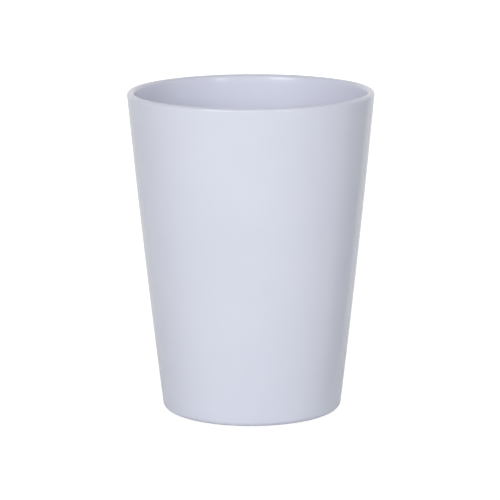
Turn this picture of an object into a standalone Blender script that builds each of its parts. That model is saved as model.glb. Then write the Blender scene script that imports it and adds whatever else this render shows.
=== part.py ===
"""A plain tapered bathroom tumbler: a thick moulded cup that stands on a soft non-slip ring.

Both pieces are turned about the Z axis. The origin is where that axis meets the surface that the cup stands on.
"""

import math
from typing import NamedTuple

import bmesh
import bpy
from mathutils import Matrix, Vector

MM = 0.001

# Outside of the cup. Its height runs from the foot land to the top of the lip.
RIM_DIAMETER = 80 * MM
BASE_DIAMETER = 58 * MM
BODY_HEIGHT = 104.4 * MM
SIDE_CROWN = 0.34 * MM
BASE_CORNER_RADIUS = 2.0 * MM

# Wall, lip and floor. The wall is measured level, and thickens from the lip to the floor.
WALL_AT_LIP = 2.4 * MM
WALL_AT_FLOOR = 2.8 * MM
LIP_OUTER_RADIUS = 0.95 * MM
LIP_INNER_RADIUS = 1.3 * MM
FLOOR_HEIGHT = 4.0 * MM
FLOOR_CORNER_RADIUS = 6.0 * MM

# Underside of the cup, from its outer edge to its centre.
FOOT_LAND_WIDTH = 1.9 * MM
CHANNEL_MOUTH_RADIUS = 0.3 * MM
CHANNEL_ROOT_RADIUS = 0.2 * MM
RIB_WIDTH = 1.5 * MM
RIB_CORNER_RADIUS = 0.5 * MM
PANEL_RECESS = 1.0 * MM
PANEL_CORNER_RADIUS = 0.4 * MM
PANEL_DOME = 0.4 * MM
GATE_DIMPLE_DIAMETER = 5.0 * MM
GATE_DIMPLE_DEPTH = 0.3 * MM
GATE_NUB_DIAMETER = 1.2 * MM
GATE_NUB_HEIGHT = 0.25 * MM

# Non-slip ring.
RING_WIDTH = 3.0 * MM
RING_HEIGHT = 1.5 * MM
RING_PROUD = 0.5 * MM
RING_CLEARANCE = 0.3 * MM
RING_TOP_RADIUS = 0.3 * MM
RING_FOOT_RADIUS = 0.5 * MM
VENT_COUNT = 4
VENT_WIDTH = 3.0 * MM
VENT_DEPTH = 0.35 * MM

# How finely the round shapes are divided. A fillet's flats stay this close to its true arc.
TURN_STEPS = 72
SIDE_STEPS = 7
DOME_STEPS = 3
VENT_SIDES = 32
ARC_TOLERANCE = 0.025 * MM
CUT_OVERRUN = 1.0 * MM
MERGE_DISTANCE = 0.001 * MM

# The fillets at the two ends of a side share this much of it at most.
FILLET_LIMIT_SHARE = 0.98
SMOOTH_BELOW = math.radians(35)

LILAC = (0.72, 0.72, 0.84, 1.0)
LILAC_ROUGHNESS = 0.2
SOFT_GREY = (0.46, 0.46, 0.50, 1.0)
SOFT_GREY_ROUGHNESS = 0.7

rim_radius = RIM_DIAMETER / 2
base_radius = BASE_DIAMETER / 2

# The channel is the ring with its clearance on three sides, and the ring stands proud of the foot land.
channel_width = RING_WIDTH + 2 * RING_CLEARANCE
channel_depth = RING_HEIGHT - RING_PROUD + RING_CLEARANCE
channel_outer_radius = base_radius - BASE_CORNER_RADIUS - FOOT_LAND_WIDTH
channel_inner_radius = channel_outer_radius - channel_width
ring_outer_radius = channel_outer_radius - RING_CLEARANCE
ring_inner_radius = channel_inner_radius + RING_CLEARANCE
panel_radius = channel_inner_radius - RIB_WIDTH


class Corner(NamedTuple):
    """A corner of a turned section: its distance from the axis, its height and the fillet that rounds it."""

    radius: float
    level: float
    fillet: float = 0.0

    @property
    def point(self):
        return Vector((self.radius, 0.0, self.level))


def clear_scene():
    for scene_object in list(bpy.data.objects):
        bpy.data.objects.remove(scene_object, do_unlink=True)


def plastic(name, colour, roughness):
    """A plain coloured material for one piece."""
    material = bpy.data.materials.new(name)
    material.use_nodes = True
    shader = material.node_tree.nodes["Principled BSDF"]
    shader.inputs["Base Color"].default_value = colour
    shader.inputs["Roughness"].default_value = roughness
    shader.inputs["Metallic"].default_value = 0.0
    return material


def half_angle_at(corners, index):
    """Half the angle between the two sides that meet at a corner."""
    point = corners[index].point
    to_before = corners[index - 1].point - point
    to_after = corners[(index + 1) % len(corners)].point - point
    return to_before.angle(to_after) / 2


def fillet_reaches(corners):
    """How far each fillet reaches along its two sides. Two that would meet on a short side shrink alike."""
    reaches = [
        entry.fillet / math.tan(half_angle_at(corners, index)) if entry.fillet else 0.0
        for index, entry in enumerate(corners)
    ]
    shrink = [1.0] * len(corners)
    for index, entry in enumerate(corners):
        room = FILLET_LIMIT_SHARE * (entry.point - corners[index - 1].point).length
        wanted = reaches[index] + reaches[index - 1]
        if wanted > room:
            shrink[index] = min(shrink[index], room / wanted)
            shrink[index - 1] = min(shrink[index - 1], room / wanted)
    return [reach * factor for reach, factor in zip(reaches, shrink)]


def fillet_arc(corners, index, reach):
    """The points of the arc that rounds a corner, reaching as far as given along both of its sides."""
    point = corners[index].point
    along_before = (corners[index - 1].point - point).normalized()
    along_after = (corners[(index + 1) % len(corners)].point - point).normalized()
    half_angle = half_angle_at(corners, index)
    radius = reach * math.tan(half_angle)
    centre = point + (along_before + along_after).normalized() * reach / math.cos(half_angle)
    start = point + along_before * reach - centre
    end = point + along_after * reach - centre
    widest_step = 2 * math.acos(max(0.0, 1 - ARC_TOLERANCE / radius))
    steps = math.ceil((math.pi - 2 * half_angle) / widest_step)
    return [centre + start.slerp(end, step / steps) * radius for step in range(steps + 1)]


def section_points(corners):
    """All the points of a section, with its fillets in place of its rounded corners."""
    points = []
    for index, reach in enumerate(fillet_reaches(corners)):
        points += fillet_arc(corners, index, reach) if reach else [corners[index].point]
    return points


def turned(name, corners, closed, material):
    """Turn a section about the Z axis. A closed section makes a ring, and an open one starts and ends on the axis."""
    mesh_builder = bmesh.new()
    points = [mesh_builder.verts.new(point) for point in section_points(corners)]
    following = points[1:] + points[:1] if closed else points[1:]
    edges = [mesh_builder.edges.new(pair) for pair in zip(points, following)]
    bmesh.ops.spin(
        mesh_builder,
        geom=points + edges,
        cent=(0, 0, 0),
        axis=(0, 0, 1),
        angle=math.radians(360),
        steps=TURN_STEPS,
        use_merge=True,
    )
    bmesh.ops.remove_doubles(mesh_builder, verts=mesh_builder.verts, dist=MERGE_DISTANCE)
    bmesh.ops.recalc_face_normals(mesh_builder, faces=mesh_builder.faces)
    piece = added(name, mesh_builder)
    piece.data.shade_smooth()
    piece.data.set_sharp_from_angle(angle=SMOOTH_BELOW)
    piece.data.materials.append(material)
    return piece


def added(name, mesh_builder):
    """Put a finished mesh into the scene as a named object."""
    mesh = bpy.data.meshes.new(name)
    mesh_builder.to_mesh(mesh)
    mesh_builder.free()
    piece = bpy.data.objects.new(name, mesh)
    bpy.context.scene.collection.objects.link(piece)
    return piece


def outer_radius(height):
    """Radius of the cup's outside at a height over the foot land. The taper bulges slightly at half height."""
    share = height / BODY_HEIGHT
    straight = base_radius + (rim_radius - base_radius) * share
    return straight + SIDE_CROWN * 4 * share * (1 - share)


def inner_radius(height):
    """Radius of the cup's inside at a height over the foot land."""
    share = (height - FLOOR_HEIGHT) / (BODY_HEIGHT - FLOOR_HEIGHT)
    wall = WALL_AT_FLOOR + (WALL_AT_LIP - WALL_AT_FLOOR) * share
    return outer_radius(height) - wall


def side(radius_at, from_height, to_height):
    """Points along one side of the wall, between the corners at its two ends."""
    climb = to_height - from_height
    heights = [from_height + climb * step / SIDE_STEPS for step in range(1, SIDE_STEPS)]
    return [Corner(radius_at(height), height) for height in heights]


def gate_mark():
    """The dimple in the middle of the panel, with the nub left in it where the plastic came into the mould."""
    dimple_roof = PANEL_RECESS + PANEL_DOME + GATE_DIMPLE_DEPTH
    nub_tip = dimple_roof - GATE_NUB_HEIGHT
    nub_radius = GATE_NUB_DIAMETER / 2
    return [
        Corner(0.0, nub_tip),
        Corner(nub_radius, nub_tip),
        Corner(nub_radius, dimple_roof),
        Corner(GATE_DIMPLE_DIAMETER / 2 - GATE_DIMPLE_DEPTH, dimple_roof),
    ]


def panel():
    """The recessed panel, slightly domed so that its middle never touches what the cup stands on."""
    dimple_radius = GATE_DIMPLE_DIAMETER / 2
    corners = []
    for step in range(DOME_STEPS):
        share = step / DOME_STEPS
        radius = dimple_radius + (panel_radius - dimple_radius) * share
        corners.append(Corner(radius, PANEL_RECESS + PANEL_DOME * (1 - share ** 2)))
    corners.append(Corner(panel_radius, PANEL_RECESS, PANEL_CORNER_RADIUS))
    return corners


def rib_and_channel():
    """The rib round the panel, and the channel that the ring sits in."""
    return [
        Corner(panel_radius, 0.0, RIB_CORNER_RADIUS),
        Corner(channel_inner_radius, 0.0, CHANNEL_MOUTH_RADIUS),
        Corner(channel_inner_radius, channel_depth, CHANNEL_ROOT_RADIUS),
        Corner(channel_outer_radius, channel_depth, CHANNEL_ROOT_RADIUS),
        Corner(channel_outer_radius, 0.0, CHANNEL_MOUTH_RADIUS),
    ]


def wall_and_floor():
    """Up the outside from the foot land, over the lip and down the inside to the middle of the floor."""
    return [
        Corner(base_radius, 0.0, BASE_CORNER_RADIUS),
        *side(outer_radius, 0.0, BODY_HEIGHT),
        Corner(rim_radius, BODY_HEIGHT, LIP_OUTER_RADIUS),
        Corner(inner_radius(BODY_HEIGHT), BODY_HEIGHT, LIP_INNER_RADIUS),
        *side(inner_radius, BODY_HEIGHT, FLOOR_HEIGHT),
        Corner(inner_radius(FLOOR_HEIGHT), FLOOR_HEIGHT, FLOOR_CORNER_RADIUS),
        Corner(0.0, FLOOR_HEIGHT),
    ]


def make_cup_body():
    """The moulding is turned with its foot land at zero, and stands on the ring that is proud of it."""
    section = gate_mark() + panel() + rib_and_channel() + wall_and_floor()
    body = turned("cup_body", section, False, plastic("lilac_gloss", LILAC, LILAC_ROUGHNESS))
    body.location.z = RING_PROUD
    return body


def make_vent_cutter():
    """Short bars across the ring's foot, one for each vent. Each one cuts a shallow round notch."""
    bar_radius = ((VENT_WIDTH / 2) ** 2 + VENT_DEPTH ** 2) / (2 * VENT_DEPTH)
    ring_middle_radius = (ring_outer_radius + ring_inner_radius) / 2
    mesh_builder = bmesh.new()
    lie_down = Matrix.Rotation(math.radians(90), 4, "Y")
    to_the_ring = Matrix.Translation((ring_middle_radius, 0.0, VENT_DEPTH - bar_radius))
    for vent in range(VENT_COUNT):
        turn = Matrix.Rotation(math.radians(360) * vent / VENT_COUNT, 4, "Z")
        bmesh.ops.create_cone(
            mesh_builder,
            cap_ends=True,
            segments=VENT_SIDES,
            radius1=bar_radius,
            radius2=bar_radius,
            depth=RING_WIDTH + 2 * CUT_OVERRUN,
            matrix=turn @ to_the_ring @ lie_down,
        )
    cutter = added("vent_cutter", mesh_builder)
    cutter.hide_render = True
    cutter.display_type = "WIRE"
    return cutter


def make_foot_ring():
    """The ring fills the channel but for its clearance. Its vents let air and water out from under the cup."""
    section = [
        Corner(ring_inner_radius, 0.0, RING_FOOT_RADIUS),
        Corner(ring_outer_radius, 0.0, RING_FOOT_RADIUS),
        Corner(ring_outer_radius, RING_HEIGHT, RING_TOP_RADIUS),
        Corner(ring_inner_radius, RING_HEIGHT, RING_TOP_RADIUS),
    ]
    ring = turned("foot_ring", section, True, plastic("soft_grey", SOFT_GREY, SOFT_GREY_ROUGHNESS))
    vents = ring.modifiers.new("vents", "BOOLEAN")
    vents.operation = "DIFFERENCE"
    vents.solver = "EXACT"
    vents.object = make_vent_cutter()
    return ring


def assemble():
    """The body and its ring move together, so both belong to one empty at the origin."""
    tumbler = bpy.data.objects.new("tumbler", None)
    bpy.context.scene.collection.objects.link(tumbler)
    for piece in (make_cup_body(), make_foot_ring()):
        piece.parent = tumbler


clear_scene()
assemble()
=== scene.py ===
# %% [markdown]
# # A moulded tumbler on its non-slip ring
# This lesson dresses a plain bathroom tumbler: a thick, glossy lilac cup with a rounded lip, and the soft grey ring
# that it stands on. The solids were made first, at their real size, and come in here as a frame that never moves.
# Everything below is made in metres in that frame, so each new piece lands on its solid with no fitting.

# %% Load the frame
import math

import bmesh
import bpy
from mathutils import Matrix, Vector


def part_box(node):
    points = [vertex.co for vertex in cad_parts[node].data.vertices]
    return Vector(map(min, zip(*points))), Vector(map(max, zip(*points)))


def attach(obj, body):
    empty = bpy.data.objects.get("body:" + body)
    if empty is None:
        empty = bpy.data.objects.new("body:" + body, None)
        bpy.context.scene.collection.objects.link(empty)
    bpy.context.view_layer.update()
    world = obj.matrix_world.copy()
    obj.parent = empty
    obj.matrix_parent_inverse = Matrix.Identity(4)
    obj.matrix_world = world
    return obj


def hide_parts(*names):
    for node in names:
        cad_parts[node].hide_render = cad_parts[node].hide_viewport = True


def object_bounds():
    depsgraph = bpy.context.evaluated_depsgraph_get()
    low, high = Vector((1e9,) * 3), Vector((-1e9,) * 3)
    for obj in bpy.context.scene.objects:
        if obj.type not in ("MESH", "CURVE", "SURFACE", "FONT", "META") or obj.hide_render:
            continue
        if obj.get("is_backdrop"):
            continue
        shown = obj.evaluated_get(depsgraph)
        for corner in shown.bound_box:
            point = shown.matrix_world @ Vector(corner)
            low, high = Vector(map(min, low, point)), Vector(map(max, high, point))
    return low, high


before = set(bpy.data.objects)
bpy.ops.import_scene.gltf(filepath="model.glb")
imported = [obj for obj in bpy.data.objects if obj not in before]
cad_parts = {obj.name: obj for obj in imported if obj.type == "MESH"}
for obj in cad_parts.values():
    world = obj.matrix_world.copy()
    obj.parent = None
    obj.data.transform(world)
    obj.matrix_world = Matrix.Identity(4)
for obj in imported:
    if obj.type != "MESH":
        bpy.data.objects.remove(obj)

MM = 0.001
cad_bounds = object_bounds()
cup_low, cup_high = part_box("cup_body")
ring_low, ring_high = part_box("foot_ring")
print("cup stands from", round(cup_low.z / MM, 2), "to", round(cup_high.z / MM, 2), "mm")

# %% [markdown]
# ## The camera
# A catalogue picture of a small thing is taken from far away with a long lens, so its sides hardly converge. The
# outline of the cup gives the camera: how round the mouth looks gives the height of the view, and how much rounder
# the base looks than the mouth gives the distance. The picture leans by a quarter of a degree, so the camera rolls.
# The camera is moved sideways a little, not shifted in its lens, to put the cup where the picture has it.

# %% Camera
VIEW_ELEVATION = math.radians(11.35)
VIEW_ROLL = math.radians(-0.233)
VIEW_DISTANCE = 949 * MM
VIEW_SIDESTEP = -0.45 * MM
VIEW_CENTRE_HEIGHT = 52.5 * MM
SENSOR_WIDTH_MM = 36
LENS_MM = 209.6

camera_data = bpy.data.cameras.new("camera")
camera_data.sensor_width = SENSOR_WIDTH_MM
camera_data.lens = LENS_MM
camera = bpy.data.objects.new("camera", camera_data)
bpy.context.scene.collection.objects.link(camera)
aim = Vector((VIEW_SIDESTEP, 0, VIEW_CENTRE_HEIGHT))
away = Vector((0, -math.cos(VIEW_ELEVATION), math.sin(VIEW_ELEVATION)))
tilt = Matrix.Rotation(math.radians(90) - VIEW_ELEVATION, 4, "X")
roll = Matrix.Rotation(VIEW_ROLL, 4, "Z")
camera.matrix_world = Matrix.Translation(aim + away * VIEW_DISTANCE) @ tilt @ roll
bpy.context.scene.camera = camera
bpy.context.scene.view_settings.view_transform = "Standard"
print("camera is", round(VIEW_DISTANCE, 3), "m away and sees", round(math.degrees(camera_data.angle), 1), "degrees")

# %% [markdown]
# ## Turning a section
# Both pieces are round, so each is a flat section turned about the axis. The section is drawn as a few corner
# points joined by edges. A vertex bevel then rounds each corner, long edges are divided so that the shading stays
# true beside the fillets, and one spin makes the piece. A Screw modifier would turn it as well, but with the spin the
# mesh is there at once to be checked and shaped further.

# %% Draw a section with rounded corners
SEGMENTS_PER_ROOT_MM = 5
LEAST_SEGMENTS = 4


def draw_section(builder, corners, closed):
    """Join corner points (radius, level, fillet) by edges, and round each corner that has a fillet."""
    points = [builder.verts.new((radius, 0, level)) for radius, level, fillet in corners]
    following = points[1:] + points[:1] if closed else points[1:]
    for pair in zip(points, following):
        builder.edges.new(pair)
    for index, (radius, level, fillet) in enumerate(corners):
        if not fillet:
            continue
        before, after = (
            Vector((neighbour[0] - radius, neighbour[1] - level))
            for neighbour in (corners[index - 1], corners[(index + 1) % len(corners)])
        )
        bmesh.ops.bevel(
            builder,
            geom=[points[index]],
            offset=fillet / math.tan(before.angle(after) / 2),
            offset_type="OFFSET",
            segments=max(LEAST_SEGMENTS, math.ceil(SEGMENTS_PER_ROOT_MM * math.sqrt(fillet / MM))),
            profile=0.5,
            affect="VERTICES",
            material=-1,
        )


def divide_long_edges(builder, longest):
    """Cut every edge of a section that is longer than asked into equal shorter ones."""
    for edge in list(builder.edges):
        cuts = math.ceil(edge.calc_length() / longest) - 1
        if cuts > 0:
            bmesh.ops.subdivide_edges(builder, edges=[edge], cuts=cuts)


# %% Spin a section
MERGE_DISTANCE = 0.001 * MM


def spin_section(builder, steps):
    """Turn the section all the way round the Z axis and close the mesh, with its faces pointing out."""
    bmesh.ops.spin(
        builder,
        geom=builder.verts[:] + builder.edges[:],
        cent=(0, 0, 0),
        axis=(0, 0, 1),
        angle=math.radians(360),
        steps=steps,
        use_merge=True,
    )
    bmesh.ops.remove_doubles(builder, verts=builder.verts, dist=MERGE_DISTANCE)
    bmesh.ops.recalc_face_normals(builder, faces=builder.faces)


# %% Make a piece
SHARP_ANGLE = math.radians(40)


def make_piece(name, builder, node):
    """Turn a finished bmesh into a smooth piece that stands for a node of the frame."""
    open_edges = sum(1 for edge in builder.edges if len(edge.link_faces) != 2)
    mesh = bpy.data.meshes.new(name)
    builder.to_mesh(mesh)
    builder.free()
    mesh.shade_smooth()
    mesh.set_sharp_from_angle(angle=SHARP_ANGLE)
    piece = bpy.data.objects.new(name, mesh)
    bpy.context.scene.collection.objects.link(piece)
    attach(piece, "root")
    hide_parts(node)
    print(name, "has", len(mesh.polygons), "faces and", open_edges, "open edges")
    return piece


# %% [markdown]
# ## The sizes that the pieces share
# The mouth is 80 mm across before its edge is rounded, and the base 58 mm. The channel under the base is the ring's
# own section with a small clearance, so both are worked out from the same values.

# %% Shared sizes
RIM_RADIUS = 40.0 * MM
BASE_RADIUS = 29.0 * MM
BASE_CORNER = 2.0 * MM
FOOT_LAND_WIDTH = 1.9 * MM
RING_WIDTH = 3.0 * MM
RING_CLEARANCE = 0.3 * MM

body_height = cup_high.z - cup_low.z
ring_outer, ring_height = ring_high.x, ring_high.z - ring_low.z
channel_outer = BASE_RADIUS - BASE_CORNER - FOOT_LAND_WIDTH
channel_inner = channel_outer - RING_WIDTH - 2 * RING_CLEARANCE
channel_depth = ring_height - (cup_low.z - ring_low.z) + RING_CLEARANCE
print("ring reaches", round(ring_outer / MM, 2), "mm and its channel", round(channel_outer / MM, 2), "mm")

# %% [markdown]
# ## The cup body
# The real cup is one moulding with a wall of about 2.4 mm, much thicker than it needs to be, which is what makes it
# feel solid and gives the lip its broad rounded edge. Its sides aren't quite straight: they swell by a third of a
# millimetre at half height. The underside isn't seen in the picture. It is made as such mouldings usually are, with a
# land to stand on, a channel for the ring, a rib, and a recessed panel with the small dimple and nub where the plastic
# was let into the mould.

# %% Sizes of the cup body
WALL_AT_LIP = 2.4 * MM
WALL_AT_FLOOR = 2.8 * MM
LIP_OUTER_FILLET = 0.95 * MM
LIP_INNER_FILLET = 1.3 * MM
FLOOR_HEIGHT = 4.0 * MM
FLOOR_FILLET = 6.0 * MM
SIDE_CROWN = 0.34 * MM
RIB_WIDTH = 1.5 * MM
RIB_FILLET = 0.5 * MM
PANEL_RECESS = 1.0 * MM
PANEL_DOME = 0.4 * MM
PANEL_FILLET = 0.4 * MM
GATE_RADIUS = 2.5 * MM
GATE_DEPTH = 0.3 * MM
GATE_FILLET = 0.2 * MM
NUB_RADIUS = 0.6 * MM
NUB_HEIGHT = 0.25 * MM
NUB_FILLET = 0.1 * MM
CHANNEL_MOUTH_FILLET = 0.3 * MM
CHANNEL_ROOF_FILLET = 0.2 * MM

panel_radius = channel_inner - RIB_WIDTH
gate_roof = PANEL_RECESS + PANEL_DOME + GATE_DEPTH
foot_inside = BASE_RADIUS + (RIM_RADIUS - BASE_RADIUS) * FLOOR_HEIGHT / body_height - WALL_AT_FLOOR
print("inside floor is", round(2 * foot_inside / MM, 1), "mm across before its fillet")

# %% Turn the cup body
CUP_STEPS = 256
LONGEST_EDGE = 2.0 * MM

cup_corners = [
    (0.0, gate_roof - NUB_HEIGHT, 0.0),
    (NUB_RADIUS, gate_roof - NUB_HEIGHT, NUB_FILLET),
    (NUB_RADIUS, gate_roof, NUB_FILLET),
    (GATE_RADIUS - GATE_DEPTH, gate_roof, GATE_FILLET),
    (GATE_RADIUS, gate_roof - GATE_DEPTH, GATE_FILLET),
    (panel_radius, PANEL_RECESS, PANEL_FILLET),
    (panel_radius, 0.0, RIB_FILLET),
    (channel_inner, 0.0, CHANNEL_MOUTH_FILLET),
    (channel_inner, channel_depth, CHANNEL_ROOF_FILLET),
    (channel_outer, channel_depth, CHANNEL_ROOF_FILLET),
    (channel_outer, 0.0, CHANNEL_MOUTH_FILLET),
    (BASE_RADIUS, 0.0, BASE_CORNER),
    (RIM_RADIUS, body_height, LIP_OUTER_FILLET),
    (RIM_RADIUS - WALL_AT_LIP, body_height, LIP_INNER_FILLET),
    (foot_inside, FLOOR_HEIGHT, FLOOR_FILLET),
    (0.0, FLOOR_HEIGHT, 0.0),
]
cup_builder = bmesh.new()
draw_section(cup_builder, cup_corners, closed=False)
divide_long_edges(cup_builder, LONGEST_EDGE)
middle_of_base = BASE_RADIUS / 2
for point in cup_builder.verts:
    share = point.co.z / body_height
    if point.co.x > middle_of_base:
        # 4 s (1 - s) is 0 at the foot and the lip, and 1 at half height.
        point.co.x += SIDE_CROWN * 4 * share * (1 - share)
    point.co.z += cup_low.z
spin_section(cup_builder, CUP_STEPS)
cup = make_piece("moulded_cup", cup_builder, "cup_body")

# %% [markdown]
# ## The foot ring
# The picture doesn't show this ring either. It is a soft moulding pressed into its channel. Two fine grooves run round
# its foot so that it grips, and four shallow vents let water and air out from under the cup. The vents could be cut by
# a Boolean, but a few hundred points lifted along an arc give a cleaner mesh.

# %% Section of the foot ring
RING_FOOT_FILLET = 0.5 * MM
RING_TOP_FILLET = 0.3 * MM
GROOVE_WIDTH = 0.45 * MM
GROOVE_DEPTH = 0.2 * MM
GROOVE_FILLET = 0.06 * MM
GROOVE_SPACING = 0.85 * MM
GROOVE_PROFILE = ((-0.5, 0.0), (-0.2, GROOVE_DEPTH), (0.2, GROOVE_DEPTH), (0.5, 0.0))

ring_inner = ring_outer - RING_WIDTH
ring_middle = (ring_outer + ring_inner) / 2
ring_corners = [(ring_inner, ring_low.z, RING_FOOT_FILLET)]
for side in (-1, 1):
    groove_middle = ring_middle + side * GROOVE_SPACING / 2
    for width_share, rise in GROOVE_PROFILE:
        ring_corners.append((groove_middle + width_share * GROOVE_WIDTH, ring_low.z + rise, GROOVE_FILLET))
ring_corners += [
    (ring_outer, ring_low.z, RING_FOOT_FILLET),
    (ring_outer, ring_high.z, RING_TOP_FILLET),
    (ring_inner, ring_high.z, RING_TOP_FILLET),
]
print("ring's section has", len(ring_corners), "corners")

# %% Turn the foot ring and lift its vents
RING_STEPS = 480
VENT_COUNT = 4
VENT_WIDTH = 3.0 * MM
VENT_DEPTH = 0.35 * MM

ring_builder = bmesh.new()
draw_section(ring_builder, ring_corners, closed=True)
spin_section(ring_builder, RING_STEPS)
vent_radius = ((VENT_WIDTH / 2) ** 2 + VENT_DEPTH ** 2) / (2 * VENT_DEPTH)
for point in ring_builder.verts:
    angle = math.atan2(point.co.y, point.co.x) * VENT_COUNT / math.tau
    across = (angle - round(angle)) * math.tau / VENT_COUNT * point.co.xy.length
    if abs(across) < VENT_WIDTH / 2:
        roof = VENT_DEPTH - vent_radius + math.sqrt(vent_radius ** 2 - across ** 2)
        point.co.z = max(point.co.z, ring_low.z + roof)
ring = make_piece("non_slip_ring", ring_builder, "foot_ring")

# %% [markdown]
# ## Writing materials as sums
# A node tree is easier to read as arithmetic. `Wire` wraps the output of a node, and its operators add Math nodes, so
# that `1 - mask * 0.5` is a small tree. `Graph.node` makes any other node from its type, its settings and the values
# or wires of its inputs.

# %% Wires that can be added


class Wire:
    """The output of a node, which can be used in sums."""

    def __init__(self, graph, socket):
        self.graph = graph
        self.socket = socket

    def sum_of(self, operation, first, second):
        return self.graph.node("ShaderNodeMath", {"operation": operation}, {0: first, 1: second})

    def __add__(self, other):
        return self.sum_of("ADD", self, other)

    __radd__ = __add__

    def __sub__(self, other):
        return self.sum_of("SUBTRACT", self, other)

    def __rsub__(self, other):
        return self.sum_of("SUBTRACT", other, self)

    def __mul__(self, other):
        return self.sum_of("MULTIPLY", self, other)

    __rmul__ = __mul__


# %% Graphs of nodes


class Graph:
    """The node tree of one material or world."""

    def __init__(self, tree):
        self.tree = tree
        tree.nodes.clear()

    def node(self, kind, settings=None, sockets=None, output=0):
        """Make a node, with its settings first and then the values or wires of its inputs."""
        made = self.tree.nodes.new(kind)
        for name, value in (settings or {}).items():
            setattr(made, name, value)
        for key, value in (sockets or {}).items():
            if isinstance(value, Wire):
                self.tree.links.new(value.socket, made.inputs[key])
            else:
                made.inputs[key].default_value = value
        return Wire(self, made.outputs[output] if made.outputs else None)

    def noise(self, coordinates, size, detail):
        """A cloudy value about 0.5 whose lumps are about as large as size, in metres."""
        settings = {"noise_dimensions": "3D"}
        return self.node("ShaderNodeTexNoise", settings, {"Vector": coordinates, "Scale": 1 / size, "Detail": detail})

    def ramp(self, value, low, high):
        """0 below low, 1 above high and a smooth step between."""
        settings = {"interpolation_type": "SMOOTHSTEP"}
        return self.node("ShaderNodeMapRange", settings, {"Value": value, "From Min": low, "From Max": high})

    def mix_colours(self, factor, first, second):
        return self.node("ShaderNodeMix", {"data_type": "RGBA"}, {0: factor, 6: first, 7: second}, output=2)


def new_material(name):
    material = bpy.data.materials.new(name)
    material.use_nodes = True
    return material, Graph(material.node_tree)


# %% [markdown]
# ## The glossy lilac plastic
# The pigment in a moulded plastic is never perfectly even, so the colour drifts by one or two parts in a hundred in
# clouds a few centimetres wide. The gloss comes from a polished mould. It has a faint orange peel about a millimetre
# wide, and use leaves fine hairlines and a slightly duller band near the foot.

# %% Values of the lilac plastic
LILAC = (0.733, 0.733, 0.847, 1.0)
LILAC_DEEP = (0.717, 0.715, 0.834, 1.0)
PLASTIC_IOR = 1.55
GLOSS_ROUGHNESS = 0.17
CLOUD_SIZE = 30 * MM
CLOUD_EDGES = (0.3, 0.7)
CLOUD_ROUGHNESS = 0.04
PEEL_SIZE = 1.4 * MM
PEEL_HEIGHT = 0.004 * MM
HAIRLINE_WIDTH = 0.25 * MM
HAIRLINE_TURN = (0.5, 0.9, 0.3)
HAIRLINE_STRETCH = (1.0, 1.0, 0.04)
HAIRLINE_EDGES = (0.66, 0.72)
PATCH_SIZE = 15 * MM
PATCH_EDGES = (0.5, 0.7)
SCUFF_ROUGHNESS = 0.04
SCUFF_DEPTH = PEEL_HEIGHT * 0.4
FOOT_WEAR_LEVELS = (2 * MM, 14 * MM)
FOOT_WEAR_ROUGHNESS = 0.02
print("lilac drifts by", [round(a - b, 3) for a, b in zip(LILAC[:3], LILAC_DEEP[:3])])

# %% Lilac plastic


def lilac_plastic():
    material, graph = new_material("lilac_gloss")
    place = graph.node("ShaderNodeTexCoord", output=3)
    level = graph.node("ShaderNodeSeparateXYZ", sockets={0: place}, output=2)
    clouds = graph.noise(place, CLOUD_SIZE, detail=3.0)
    stretched = graph.node(
        "ShaderNodeMapping", sockets={"Vector": place, "Rotation": HAIRLINE_TURN, "Scale": HAIRLINE_STRETCH}
    )
    hairlines = graph.ramp(graph.noise(stretched, HAIRLINE_WIDTH, detail=1.0), *HAIRLINE_EDGES)
    scuffs = hairlines * graph.ramp(graph.noise(place, PATCH_SIZE, detail=1.0), *PATCH_EDGES)
    foot_wear = 1 - graph.ramp(level, *FOOT_WEAR_LEVELS)
    unevenness = (clouds - 0.5) * CLOUD_ROUGHNESS
    roughness = GLOSS_ROUGHNESS + unevenness + scuffs * SCUFF_ROUGHNESS + foot_wear * FOOT_WEAR_ROUGHNESS
    height = graph.noise(place, PEEL_SIZE, detail=1.5) * PEEL_HEIGHT - scuffs * SCUFF_DEPTH
    bump = graph.node("ShaderNodeBump", sockets={"Strength": 1.0, "Distance": 1.0, "Height": height})
    shader = graph.node(
        "ShaderNodeBsdfPrincipled",
        sockets={
            "Base Color": graph.mix_colours(graph.ramp(clouds, *CLOUD_EDGES), LILAC, LILAC_DEEP),
            "Roughness": roughness,
            "Normal": bump,
            "IOR": PLASTIC_IOR,
        },
    )
    graph.node("ShaderNodeOutputMaterial", sockets={"Surface": shader})
    return material


cup.data.materials.append(lilac_plastic())
print("lilac plastic has", len(cup.data.materials[0].node_tree.nodes), "nodes")

# %% [markdown]
# ## The soft ring
# The ring is a matt, slightly grainy elastomer. Dust and soap settle on its foot, so it is a little paler there.

# %% Soft grey elastomer
GREY = (0.42, 0.42, 0.46, 1.0)
GREY_DUSTY = (0.52, 0.52, 0.54, 1.0)
ELASTOMER_IOR = 1.45
MATT_ROUGHNESS = 0.62
GRAIN_SIZE = 0.25 * MM
GRAIN_HEIGHT = 0.012 * MM
GRAIN_ROUGHNESS = 0.16
DUST_SIZE = 4 * MM
DUST_EDGES = (0.35, 0.65)
DUST_LEVELS = (0.0, 0.5 * MM)
DUST_ROUGHNESS = 0.08


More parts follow.
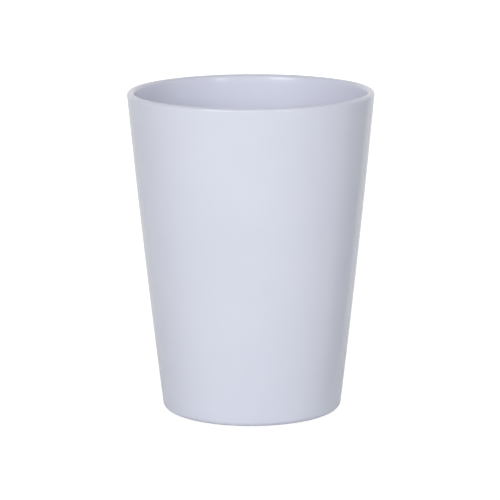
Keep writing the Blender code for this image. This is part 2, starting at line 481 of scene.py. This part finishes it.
def soft_grey():
    material, graph = new_material("soft_grey")
    place = graph.node("ShaderNodeTexCoord", output=3)
    level = graph.node("ShaderNodeSeparateXYZ", sockets={0: place}, output=2)
    grain = graph.noise(place, GRAIN_SIZE, detail=2.0)
    clouds = graph.noise(place, DUST_SIZE, detail=2.0)
    dust = (1 - graph.ramp(level, *DUST_LEVELS)) * graph.ramp(clouds, *DUST_EDGES)
    bump = graph.node("ShaderNodeBump", sockets={"Strength": 1.0, "Distance": 1.0, "Height": grain * GRAIN_HEIGHT})
    shader = graph.node(
        "ShaderNodeBsdfPrincipled",
        sockets={
            "Base Color": graph.mix_colours(dust, GREY, GREY_DUSTY),
            "Roughness": MATT_ROUGHNESS + grain * GRAIN_ROUGHNESS + dust * DUST_ROUGHNESS,
            "Normal": bump,
            "IOR": ELASTOMER_IOR,
        },
    )
    graph.node("ShaderNodeOutputMaterial", sockets={"Surface": shader})
    return material


ring.data.materials.append(soft_grey())
print("soft grey has", len(ring.data.materials[0].node_tree.nodes), "nodes")

# %% [markdown]
# ## Floor
# The cup stands in a plain white sweep. The floor is pale paint under a white glow: the camera sees mostly the glow,
# so that only a faint soft shadow is left where the cup keeps light away.
# The sides of the cup mirror the floor, more and more towards their edges. The mirrored glow is weaker than white, and
# weakest close to the foot, because in the picture the edges and the foot are darker than the middle. The picture has
# one more band that is darker, just inside the right edge. So in the mirrored floor the glow and some of the paint
# are left out of one wedge on that side, as if a dark card lay there. A wedge whose tip is under the side of the cup
# is mirrored as a band that keeps its width all the way up. The card is a guess at what made the band.

# %% Lay the floor
FLOOR_WIDTH = 6.0

floor_builder = bmesh.new()
bmesh.ops.create_grid(floor_builder, x_segments=1, y_segments=1, size=FLOOR_WIDTH / 2)
floor_mesh = bpy.data.meshes.new("floor")
floor_builder.to_mesh(floor_mesh)
floor_builder.free()
floor = bpy.data.objects.new("floor", floor_mesh)
bpy.context.scene.collection.objects.link(floor)
floor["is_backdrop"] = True
print("floor is", FLOOR_WIDTH, "m wide")

# %% Rays, and the wedge of the card
WEDGE_TIP = (31 * MM, -21 * MM)
CARD_START = (math.radians(36), math.radians(42))
CARD_END = (math.radians(68), math.radians(86))


def ray_is(graph, kind):
    """1 for rays of a kind, such as Is Camera Ray, and 0 for all others."""
    return graph.node("ShaderNodeLightPath", output=kind)


def in_wedge(graph, place):
    """1 on the floor between the two edges of the card, whose angles are from straight back towards the right."""
    across = graph.node("ShaderNodeSeparateXYZ", sockets={0: place}, output=0) - WEDGE_TIP[0]
    back = graph.node("ShaderNodeSeparateXYZ", sockets={0: place}, output=1) - WEDGE_TIP[1]
    bearing = graph.node("ShaderNodeMath", {"operation": "ARCTAN2"}, {0: across, 1: back})
    return graph.ramp(bearing, *CARD_START) * (1 - graph.ramp(bearing, *CARD_END))


# %% Floor paint and glow
FLOOR_PAINT = (0.80, 0.80, 0.80, 1.0)
BLACK = (0.0, 0.0, 0.0, 1.0)
SHADOW_SHARE = 0.30
NEAR_GLOW = 0.72
NEAR_REACH = (0.12, 0.8)
MIRRORED_GLOW = 0.265
MIRRORED_SHARE_AT_FOOT = 0.3
FOOT_REACH = (0.03, 0.16)
CARD_SHADE = 0.25


def floor_material():
    material, graph = new_material("floor")
    place = graph.node("ShaderNodeTexCoord", output=3)
    card = in_wedge(graph, place)
    from_cup = graph.node("ShaderNodeVectorMath", {"operation": "LENGTH"}, {0: place}, output=1)
    at_foot = MIRRORED_SHARE_AT_FOOT + graph.ramp(from_cup, *FOOT_REACH) * (1 - MIRRORED_SHARE_AT_FOOT)
    mirrored = MIRRORED_GLOW * (1 - card) * at_foot
    direct = ray_is(graph, "Is Camera Ray") + ray_is(graph, "Is Transmission Ray")
    near_glow = NEAR_GLOW + graph.ramp(from_cup, *NEAR_REACH) * (1 - NEAR_GLOW)
    in_mirror = ray_is(graph, "Is Glossy Ray")
    paint = graph.node("ShaderNodeBsdfDiffuse", sockets={"Color": FLOOR_PAINT})
    black = graph.node("ShaderNodeBsdfDiffuse", sockets={"Color": BLACK})
    ground = graph.node("ShaderNodeMixShader", sockets={0: in_mirror * card * CARD_SHADE, 1: paint, 2: black})
    glow = graph.node("ShaderNodeEmission", sockets={"Color": direct * near_glow + in_mirror * mirrored})
    lit = graph.node("ShaderNodeAddShader", sockets={0: ground, 1: glow})
    white = graph.node("ShaderNodeEmission", sockets={"Strength": 1.0})
    both = graph.node("ShaderNodeMixShader", sockets={0: direct * (1 - SHADOW_SHARE), 1: lit, 2: white})
    graph.node("ShaderNodeOutputMaterial", sockets={"Surface": both})
    return material


floor_mesh.materials.append(floor_material())
print("floor paint has", len(floor_mesh.materials[0].node_tree.nodes), "nodes")

# %% [markdown]
# ## White surroundings
# Seen by the camera or in a reflection, the surroundings are simply white. As a source of light they are much weaker,
# so that the plastic keeps its colour. A white dome that also lit the cup would be simpler, but it would wash it out.

# %% World
AMBIENT = 0.12

world = bpy.data.worlds.new("white_sweep")
world.use_nodes = True
bpy.context.scene.world = world
sky = Graph(world.node_tree)
seen = ray_is(sky, "Is Camera Ray") + ray_is(sky, "Is Transmission Ray") + ray_is(sky, "Is Glossy Ray")
background = sky.node("ShaderNodeBackground", sockets={"Color": AMBIENT + seen * (1 - AMBIENT)})
sky.node("ShaderNodeOutputWorld", sockets={"Surface": background})
print("surroundings light the cup at", AMBIENT, "of white")

# %% [markdown]
# ## Two softboxes and their fill
# Two short streaks on the near side of the lip, and two more on the far side where the inner edge mirrors them the
# other way round, show two softboxes in front. The left one is wider, so the right side of the cup is the darker one.
# The top of the lip is no brighter than the wall below it, so they stand low. The rest of the light is soft and
# leaves no streak. It comes from broad low fills, one in front, one at each side and two behind, which are hidden
# from reflections. The two behind keep the far side of the cup from going dark, and light its edges from the back.
# The sizes and powers were tuned until the render came near the picture, so other sets of lamps would do as well.

# %% A lamp that faces the cup
LAMP_DISTANCE = 2.4
LAMP_COLOUR = (0.965, 1.0, 0.985)


def lamp_facing_cup(name, azimuth, elevation, width, height, power, mirrored):
    """A rectangular lamp that faces the cup. Azimuth is from the camera's side, positive to the right."""
    lamp = bpy.data.lights.new(name, "AREA")
    lamp.shape = "RECTANGLE"
    lamp.size = width
    lamp.size_y = height
    lamp.energy = power
    lamp.color = LAMP_COLOUR
    holder = bpy.data.objects.new(name, lamp)
    side, up = math.radians(azimuth), math.radians(elevation)
    out = Vector((math.sin(side) * math.cos(up), -math.cos(side) * math.cos(up), math.sin(up)))
    centre = Vector((0, 0, VIEW_CENTRE_HEIGHT))
    facing = out.to_track_quat("Z", "Y").to_matrix().to_4x4()
    holder.matrix_world = Matrix.Translation(centre + out * LAMP_DISTANCE) @ facing
    holder.visible_glossy = mirrored
    bpy.context.scene.collection.objects.link(holder)
    print(name, "gives", power, "W and is", "mirrored" if mirrored else "not mirrored")


# %% Softboxes and fills
lamp_facing_cup("softbox_left", -33, 18, width=1.0, height=0.6, power=13.2, mirrored=True)
lamp_facing_cup("softbox_right", 30, 17, width=0.46, height=0.6, power=5.4, mirrored=True)
lamp_facing_cup("fill_front", -6, 16.4, width=1.6, height=0.8, power=24.0, mirrored=False)
lamp_facing_cup("fill_left", -80, 20, width=1.2, height=1.2, power=2.8, mirrored=False)
lamp_facing_cup("fill_right", 75, 20, width=1.2, height=1.2, power=6.8, mirrored=False)
lamp_facing_cup("fill_rear_left", -153, 25, width=1.0, height=1.4, power=17.0, mirrored=False)
lamp_facing_cup("fill_rear_right", 153, 25, width=1.0, height=1.4, power=18.0, mirrored=False)

# %% [markdown]
# ## Measure
# The box of the dressed model is compared with the box of the solids, corner by corner.

# %% Compare the boxes
new_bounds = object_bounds()
for corner_name, before, after in zip(("low", "high"), cad_bounds, new_bounds):
    print(corner_name, "corner moved by", [round((b - a) / MM, 3) for a, b in zip(before, after)], "mm")
